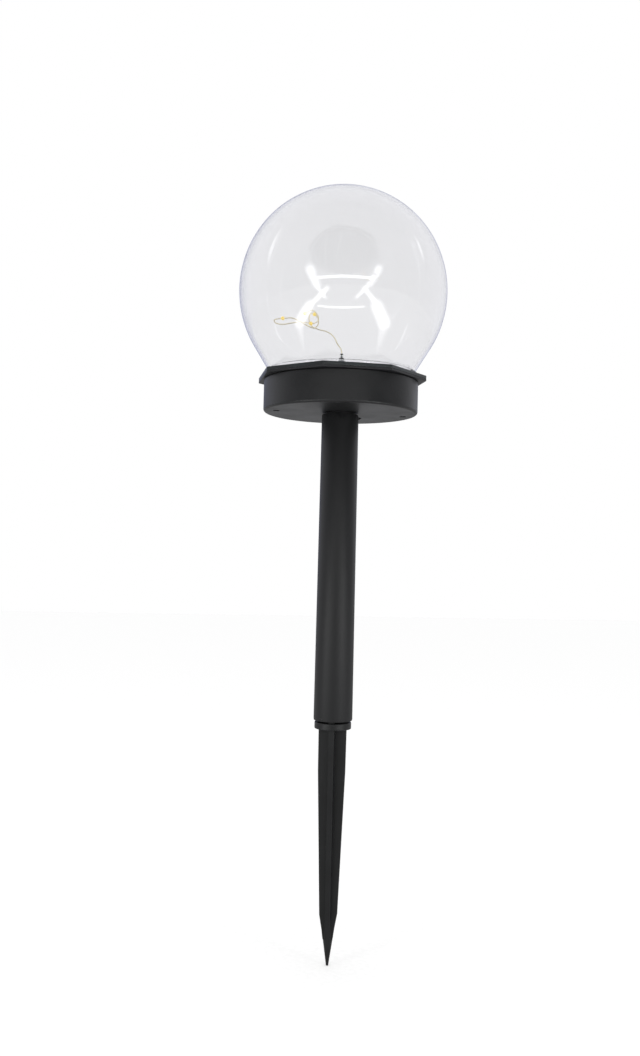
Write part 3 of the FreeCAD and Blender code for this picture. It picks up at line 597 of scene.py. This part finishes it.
def makeGlobe():
    # a ball that ends "endAngle" degrees below its middle in a straight skirt, which leans in to the
    # flange; inside the foot the wall stands upright for "footRise". The rings stop just short of the
    # ball's pole, where the last one is closed to a point
    end = math.radians(globe["endAngle"])
    skirtLow = globe["flangeLow"] + globe["flangeThick"]
    skirt = (globe["radius"] * math.cos(end) - globe["neckRadius"]) / math.sin(end)
    centre = (0.0, skirtLow + globe["radius"] * math.sin(end) + skirt * math.cos(end))
    inner = globe["radius"] - globe["wall"]
    innerDrop = (centre[1] - inner * math.sin(end) - globe["flangeLow"]) / math.cos(end)
    footHigh = globe["flangeLow"] + globe["footRise"]
    innerFoot = inner * math.cos(end) - (innerDrop - globe["footRise"] / math.cos(end)) * math.sin(end)
    edge = globe["edge"]
    profile = arcPoints(centre, globe["radius"], globe["lastRing"], -globe["endAngle"], globe["rings"])
    profile += [(globe["neckRadius"] + edge, skirtLow + globe["filletRise"]),
                (globe["neckRadius"] + 2 * edge, skirtLow), (globe["flangeRadius"] - edge, skirtLow),
                (globe["flangeRadius"], skirtLow - edge), (globe["flangeRadius"], globe["flangeLow"]),
                (innerFoot, globe["flangeLow"]), (innerFoot, footHigh)]
    profile += arcPoints(centre, inner, -globe["endAngle"], globe["lastRing"], globe["rings"])
    piece = turnPiece("globe_shell", profile, globe["sides"])
    smoothByAngle(piece, globe["smoothBelow"])
    dress(piece, "globe")
    standFor(piece, "head", "clear_plastic", "globe_dome", "globe_bowl")


makeGlobe()
print("globe made")


pole = {
    "low": 3.9, "high": 149.7, "lowRadius": 9.25, "highRadius": 8.8, "socketRadius": 7.3,
    "boreRadius": 6.5, "socketDepth": 20.0, "lowRim": ((0.44, 0.0), (0.16, 0.144), (0.0, 0.8)),
    "highRim": ((0.35, 0.0), (0.105, 0.105), (0.0, 0.35)), "sides": 128, "smoothBelow": 30,
}


def makePole():
    # a tapered tube, up its outside and down its inside, with a wider socket at each end
    low, high = pole["low"], pole["high"]
    socket, bore, depth = pole["socketRadius"], pole["boreRadius"], pole["socketDepth"]
    profile = [
        (socket, low), *lowRim(pole["lowRadius"], low, pole["lowRim"]),
        *highRim(pole["highRadius"], high, pole["highRim"]), (socket, high), (socket, high - depth),
        (bore, high - depth), (bore, low + depth), (socket, low + depth),
    ]
    piece = turnPiece("pole_tube", profile, pole["sides"], loop=True)
    smoothByAngle(piece, pole["smoothBelow"])
    dress(piece, "pole")
    standFor(piece, "pole", "black_abs", "pole")


makePole()
print("pole made")


# housing, spike, knob and screws keep their CAD forms, with the moulded or rolled edges eased
softened = {
    "bevelAbove": 32, "smoothBelow": 34,   # degrees between two faces
    "pieces": {
        "base_cup": {"name": "housing_shell", "body": "head", "slot": "black_abs", "look": "housing",
                     "edge": 0.25},
        "spike": {"name": "spike_moulding", "body": "spike", "slot": "black_abs", "look": "spike",
                  "edge": 0.3},
        "switch_knob": {"name": "switch_slider", "body": "switch_knob", "slot": "black_abs",
                        "look": "knob", "edge": 0.12},
        "case_screws": {"name": "case_screw_pair", "body": "head", "slot": "steel", "look": "screw",
                        "edge": 0.08},
    },
}


def makeSoftened():
    for node, about in softened["pieces"].items():
        piece = mergedCopy(node, about["name"])
        softenEdges(piece, about["edge"], softened["bevelAbove"])
        smoothByAngle(piece, softened["smoothBelow"])
        keepFacesFlat(piece)
        dress(piece, about["look"])
        standFor(piece, about["body"], about["slot"], node)


makeSoftened()
print("housing, spike, knob and screws made")


panel = {
    "flats": 76.0, "boardLow": 165.6, "boardThick": 1.0, "boardEdge": 0.12, "resinThick": 1.6,
    "resinEdge": 0.2, "standOff": 0.01, "hole": 2.1, "holeSides": 48, "drillPast": 2.0,
    "bevelAbove": 40, "smoothBelow": 30,
    # the plate's sawn sides are the faces beyond this from the middle that don't lie level
    "sawnBeyond": 34.2, "levelNormal": 0.9,
}


def octagonPlate(name, low, high, edge):
    deselectAll()
    radius = panel["flats"] / 2 / math.cos(math.pi / 8)
    bpy.ops.mesh.primitive_cylinder_add(vertices=8, radius=radius * mm, depth=(high - low) * mm,
                                        location=(0, 0, (low + high) / 2 * mm),
                                        rotation=(0, 0, math.pi / 8))
    plate = bpy.context.object
    plate.name = plate.data.name = name
    applyPlace(plate)
    deselectAll()
    bpy.ops.mesh.primitive_cylinder_add(vertices=panel["holeSides"], radius=panel["hole"] * mm,
                                        depth=(high - low + 2 * panel["drillPast"]) * mm,
                                        location=(0, 0, (low + high) / 2 * mm))
    drill = bpy.context.object
    applyPlace(drill)
    cut = plate.modifiers.new("drill", "BOOLEAN")
    cut.operation = "DIFFERENCE"
    cut.object = drill
    applyAll(plate)
    bpy.data.objects.remove(drill)
    softenEdges(plate, edge, panel["bevelAbove"])
    smoothByAngle(plate, panel["smoothBelow"])
    keepFacesFlat(plate)
    return plate


def makePanel():
    # the resin is clear on top and dull at its sawn sides
    boardHigh = panel["boardLow"] + panel["boardThick"]
    board = octagonPlate("panel_backing", panel["boardLow"], boardHigh, panel["boardEdge"])
    dress(board, "board")
    standFor(board, "head", "board_black", "panel_board")
    resin = octagonPlate("panel_casting", boardHigh + panel["standOff"],
                         boardHigh + panel["resinThick"], panel["resinEdge"])
    dress(resin, "resinTop", "resinEdge")
    for face in resin.data.polygons:
        isOutside = math.hypot(face.center.x, face.center.y) > panel["sawnBeyond"] * mm
        isLevel = abs(face.normal.z) > panel["levelNormal"]
        face.material_index = 1 if isOutside and not isLevel else 0
    standFor(resin, "head", "clear_resin", "panel_resin")


makePanel()
print("solar panel made")


# wire post in the middle of the panel: rubber foot, stem and head, then ferrule, cap, sleeve and tie
post = {
    "top": 168.2, "lidLow": 163.6, "barrel": 2.05, "bore": 1.0, "boreTop": 170.0,
    "flangeRadius": 3.4, "flangeThick": 0.9, "footRadius": 2.6, "stemRadius": 0.95, "stemLow": 171.5,
    "headLow": 174.3, "headRadius": 2.1, "headTop": 175.5, "nippleRadius": 0.9, "play": 0.03,
    "ferruleRadius": 1.45, "ferruleTop": 176.3, "capRadius": 1.2, "capTop": 177.3, "capSocket": 0.5,
    "sleeveRadius": 0.62, "sleeveTop": 178.8, "tieRadius": 0.75, "sides": 64, "smoothBelow": 35,
    # the points of each rounding, as lowRim says; those of the foot and the neck stand out from the stem
    "rims": {
        "flangeLow": ((0.1, 0.0), (0.0, 0.1)), "flangeTop": ((0.25, 0.1), (0.0, 0.35)),
        "foot": ((-0.7, 0.8),), "footTop": ((0.0, 0.0), (-0.2, 0.5)),
        "neck": ((-0.3, 0.0), (0.0, 0.25)), "headLow": ((0.2, 0.3), (0.0, 0.5)),
        "headTop": ((0.15, 0.0), (0.0, 0.15)), "ferruleLow": ((0.08, 0.0), (0.0, 0.08)),
        "ferruleTop": ((0.2, 0.0), (0.06, 0.06), (0.0, 0.2)), "capLow": ((0.25, 0.0), (0.08, 0.3)),
        "capTop": ((0.1, 0.0), (0.04, 0.06), (0.0, 0.25)), "sleeveTop": ((0.03, 0.0), (0.0, 0.5)),
        "tie": ((0.15, 0.0), (0.04, 0.08), (0.0, 0.22)),
    },
}


def postPiece(name, node, look, slotName, profile, loop=False):
    piece = turnPiece(name, profile, post["sides"], loop)
    smoothByAngle(piece, post["smoothBelow"])
    dress(piece, look)
    standFor(piece, "head", slotName, node)


def makePost():
    rims = post["rims"]
    top, flangeTop = post["top"], post["top"] + post["flangeThick"]
    headLow, headTop = post["headLow"], post["headTop"]
    ferruleTop, capTop, sleeveTop = post["ferruleTop"], post["capTop"], post["sleeveTop"]
    flange, stem, head = post["flangeRadius"], post["stemRadius"], post["headRadius"]
    postPiece("post_grommet", "wire_grommet", "rubber", "rubber", [
        (post["bore"], post["boreTop"]), (post["bore"], post["lidLow"]), (post["barrel"], post["lidLow"]),
        (post["barrel"], top), *lowRim(flange, top, rims["flangeLow"]),
        *highRim(flange, flangeTop, rims["flangeTop"]), (post["footRadius"], flangeTop),
        *lowRim(stem, flangeTop, rims["foot"]), *highRim(stem, post["stemLow"], rims["footTop"]),
        *highRim(stem, headLow, rims["neck"]), *lowRim(head, headLow, rims["headLow"]),
        *highRim(head, headTop, rims["headTop"]), (post["nippleRadius"], headTop),
        (post["nippleRadius"], ferruleTop),
    ])
    inside, ferrule = post["nippleRadius"] + post["play"], post["ferruleRadius"]
    postPiece("post_ferrule", "wire_ferrule", "tin", "tin", [
        (inside, headTop), *lowRim(ferrule, headTop, rims["ferruleLow"]),
        *highRim(ferrule, ferruleTop, rims["ferruleTop"]), (inside, ferruleTop),
    ], loop=True)
    cap, socket = post["capRadius"], post["sleeveRadius"] + post["play"]
    socketLow = capTop - post["capSocket"]
    postPiece("post_cap", "wire_cap", "capRubber", "rubber", [
        *lowRim(cap, ferruleTop, rims["capLow"]), *highRim(cap, capTop, rims["capTop"]),
        (socket, capTop), (socket, socketLow),
    ])
    postPiece("post_sleeve", "wire_sleeve", "paleSleeve", "pale_silicone", [
        (post["sleeveRadius"], socketLow),
        *highRim(post["sleeveRadius"], sleeveTop, rims["sleeveTop"]),
    ])
    postPiece("post_tie", "wire_tie", "capRubber", "rubber", [
        *lowRim(post["tieRadius"], sleeveTop, rims["tie"]),
        *highRim(post["tieRadius"], lightString["start"], rims["tie"]),
    ])


makePost()
print("wire post made")


# pieces that keep their CAD mesh and only need their finish
cadLooks = {
    "lid": "housing", "lid_gasket": "capRubber", "solar_cells": "cells", "cell_ribbons": "tin",
    "globe_bond": "bond", "led_chips": "phosphor", "battery": "wrap", "battery_contact": "nickel",
    "battery_spring": "nickel", "switch_body": "nickel", "circuit_board": "solderMask",
    "driver_chip": "chip", "capacitor": "ceramic", "inductor": "ferrite", "panel_leads": "redLead",
    "led_leads": "whiteLead", "battery_leads": "blackLead",
}
for nodeName, look in cadLooks.items():
    dress(frame["nodes"][nodeName], look)
print("inner nodes dressed")


# floor, surroundings and lights
studio = {
    "floorZ": -111.6, "floorSize": 6000, "fibreSize": 2.5,   # the fibre is drawn coarse enough to show
    # the paper's two shades, as the eye sees them and as they throw light up at the lamp
    "paper": ("#f0f0f0", "#f4f4f4"), "bounce": ("#aeaeae", "#b4b4b4"),
    # how near the paper's sharp mirror image in the globe comes to its full white
    "floorInGlobe": 0.6,
    # the surroundings' brightness to the eye and as a light
    "seenLevel": 1.0, "diffuseLevel": 1.12,
    # what a gloss mirrors, from the camera's side (0) to straight behind the lamp (1)
    "mirrored": ((0.2, "#4b4b4b"), (0.72, "#eeeef2"), (0.86, "#e8e9f1"), (0.98, "#a6abc8")),
}


def makeStudio():
    deselectAll()
    bpy.ops.mesh.primitive_plane_add(size=studio["floorSize"] * mm, location=(0, 0, studio["floorZ"] * mm))
    floor = bpy.context.object
    floor.name = "studio_floor"
    material, tree = startMaterial("pale_paper_sweep")
    where = addNode(tree, "ShaderNodeTexCoord").outputs["Object"]
    fibre = addNode(tree, "ShaderNodeTexNoise", {"Vector": where, "Scale": 1 / (studio["fibreSize"] * mm),
                                                 "Detail": 2.0})
    pale, dim = (cloudedColour(tree, fibre, *studio[key]) for key in ("paper", "bounce"))
    seen = addNode(tree, "ShaderNodeLightPath").outputs
    isSeen = addNode(tree, "ShaderNodeMath", {0: seen["Is Camera Ray"], 1: seen["Is Transmission Ray"]},
                     operation="MAXIMUM")
    inGlobe = addNode(tree, "ShaderNodeMath", {0: seen["Is Singular Ray"], 1: studio["floorInGlobe"]},
                      operation="MULTIPLY")
    share = addNode(tree, "ShaderNodeMath", {0: isSeen.outputs[0], 1: inGlobe.outputs[0]},
                    operation="MAXIMUM")
    colour = addNode(tree, "ShaderNodeMix", {0: share.outputs[0], 6: dim, 7: pale}, data_type="RGBA")
    finishMaterial(tree, addNode(tree, "ShaderNodeBsdfDiffuse", {"Color": colour.outputs[2]}))
    floor.data.materials.append(material)

    world = bpy.data.worlds.new("white_studio")
    bpy.context.scene.world = world
    world.use_nodes = True
    tree = world.node_tree
    tree.nodes.clear()
    # white to the eye and through the globe; a gloss mirrors the dark side that the camera stands on,
    # the white walls beside the lamp and, at its rim, the lavender shade far behind it
    rays = addNode(tree, "ShaderNodeLightPath").outputs
    way = addNode(tree, "ShaderNodeTexCoord").outputs["Generated"]
    depth = addNode(tree, "ShaderNodeSeparateXYZ", {"Vector": way}).outputs["Y"]
    share = addNode(tree, "ShaderNodeMapRange", {"Value": depth, "From Min": -1.0})
    mirrored = addNode(tree, "ShaderNodeValToRGB", {"Fac": share.outputs[0]})
    stops = mirrored.color_ramp.elements
    while len(stops) < len(studio["mirrored"]):
        stops.new(1.0)
    for stop, (place, colour) in zip(stops, studio["mirrored"]):
        stop.position = place
        stop.color = hexColour(colour)
    notThrough = addNode(tree, "ShaderNodeMath", {0: 1.0, 1: rays["Is Transmission Ray"]},
                         operation="SUBTRACT")
    isMirrored = addNode(tree, "ShaderNodeMath", {0: rays["Is Glossy Ray"], 1: notThrough.outputs[0]},
                         operation="MULTIPLY")
    colour = addNode(tree, "ShaderNodeMix", {0: isMirrored.outputs[0], 6: hexColour("#ffffff"),
                                             7: mirrored.outputs["Color"]}, data_type="RGBA")
    level = addNode(tree, "ShaderNodeMapRange", {"Value": rays["Is Diffuse Ray"],
                                                 "To Min": studio["seenLevel"],
                                                 "To Max": studio["diffuseLevel"]})
    light = addNode(tree, "ShaderNodeBackground", {"Color": colour.outputs[2], "Strength": level.outputs[0]})
    addNode(tree, "ShaderNodeOutputWorld", {"Surface": light.outputs[0]})


# each lamp lies between two directions as the globe sees them from its middle: degrees right of the
# camera and degrees above it, at a distance in mm. "endFade" and "sideFade" are the shares of its length
# and its width that dim towards each end and side. A lamp that "lights" throws light but isn't mirrored,
# one that "shows" is only mirrored or seen through the globe, and one for "both" does both
lights = {
    "centre": (0, 0, 217), "front": -101.0, "level": -15.7, "sideFade": 0.45,
    "boxes": [
        {"name": "crossStrip", "from": (-29, 15), "to": (34, 15), "distance": 1000, "width": 66,
         "shape": "RECTANGLE", "radiance": 7.0, "endFade": 0.08, "use": "both"},
        {"name": "leftFill", "from": (-41, 14), "to": (-60, 47), "distance": 1000, "width": 280,
         "shape": "RECTANGLE", "radiance": 5.2, "endFade": 0.5, "use": "lights"},
        {"name": "rightFill", "from": (46, 12), "to": (67, 45), "distance": 1000, "width": 280,
         "shape": "RECTANGLE", "radiance": 5.2, "endFade": 0.5, "use": "lights"},
        {"name": "leftStrip", "from": (-13, 8), "to": (-34, -12), "distance": 700, "width": 90,
         "shape": "RECTANGLE", "radiance": 5.0, "endFade": 0.25, "use": "shows"},
        {"name": "rightStrip", "from": (19, 9), "to": (36, -11), "distance": 700, "width": 90,
         "shape": "RECTANGLE", "radiance": 5.0, "endFade": 0.25, "use": "shows"},
        {"name": "leftLeaf", "from": (-29, -6), "to": (-57, -34.5), "distance": 430, "width": 98,
         "shape": "ELLIPSE", "radiance": 5.0, "endFade": 0.3, "use": "shows"},
        {"name": "rightLeaf", "from": (29, -4), "to": (55, -35), "distance": 400, "width": 115,
         "shape": "ELLIPSE", "radiance": 5.0, "endFade": 0.3, "use": "shows"},
        {"name": "leftGlint", "from": (-93, 16), "to": (-116, 44), "distance": 700, "width": 50,
         "shape": "ELLIPSE", "radiance": 1.6, "endFade": 0.5, "use": "shows"},
        {"name": "rightGlint", "from": (119, 38), "to": (102, 18), "distance": 700, "width": 50,
         "shape": "ELLIPSE", "radiance": 1.6, "endFade": 0.5, "use": "shows"},
    ],
}


def lightDirection(right, above):
    # "front" and "level" are the camera's own direction: degrees round from +X, and above the globe's middle
    up, side = math.radians(above), math.radians(right)
    way = Vector((math.cos(up) * math.cos(side), math.cos(up) * math.sin(side), math.sin(up)))
    return Matrix.Rotation(math.radians(lights["front"]), 3, "Z") @ (
        Matrix.Rotation(math.radians(-lights["level"]), 3, "Y") @ way)


def dimEdges(lamp, endFade):
    # a lamp behind cloth: full in the middle, soft at its ends and sides
    lamp.data.use_nodes = True
    tree = lamp.data.node_tree
    tree.nodes.clear()
    place = addNode(tree, "ShaderNodeNewGeometry").outputs["Parametric"]
    across = addNode(tree, "ShaderNodeSeparateXYZ", {"Vector": place})
    shares = []
    for axis, soft in (("X", endFade), ("Y", lights["sideFade"])):
        off = addNode(tree, "ShaderNodeMath", {0: across.outputs[axis], 1: 0.5}, operation="SUBTRACT")
        away = addNode(tree, "ShaderNodeMath", {0: off.outputs[0]}, operation="ABSOLUTE")
        shares.append(addNode(tree, "ShaderNodeMapRange", {"Value": away.outputs[0], "From Min": 0.5 - soft,
                                                           "From Max": 0.5, "To Min": 1.0, "To Max": 0.0},
                              interpolation_type="SMOOTHSTEP").outputs[0])
    level = addNode(tree, "ShaderNodeMath", {0: shares[0], 1: shares[1]}, operation="MULTIPLY")
    glow = addNode(tree, "ShaderNodeEmission", {"Strength": level.outputs[0]})
    addNode(tree, "ShaderNodeOutputLight", {"Surface": glow.outputs[0]})


def addLights():
    centre = Vector(lights["centre"]) * mm
    for box in lights["boxes"]:
        start, end = (lightDirection(*box[key]) * box["distance"] * mm for key in ("from", "to"))
        middle = (start + end) / 2
        back = middle.normalized()
        along = end - start
        along = (along - back * along.dot(back)).normalized()
        turn = Matrix((along, back.cross(along), back)).transposed()
        deselectAll()
        bpy.ops.object.light_add(type="AREA", location=centre + middle, rotation=turn.to_euler())
        lamp = bpy.context.object
        lamp.name = box["name"]
        lamp.data.shape = box["shape"]
        lamp.data.size = (end - start).length
        lamp.data.size_y = box["width"] * mm
        lamp.data.energy = box["radiance"] * math.pi * lamp.data.size * lamp.data.size_y
        lamp.visible_camera = box["use"] == "both"
        lamp.visible_diffuse = box["use"] != "shows"
        lamp.visible_glossy = lamp.visible_transmission = box["use"] != "lights"
        dimEdges(lamp, box["endFade"])


makeStudio()
addLights()
bpy.context.scene.view_settings.view_transform = "Standard"
print("studio set")
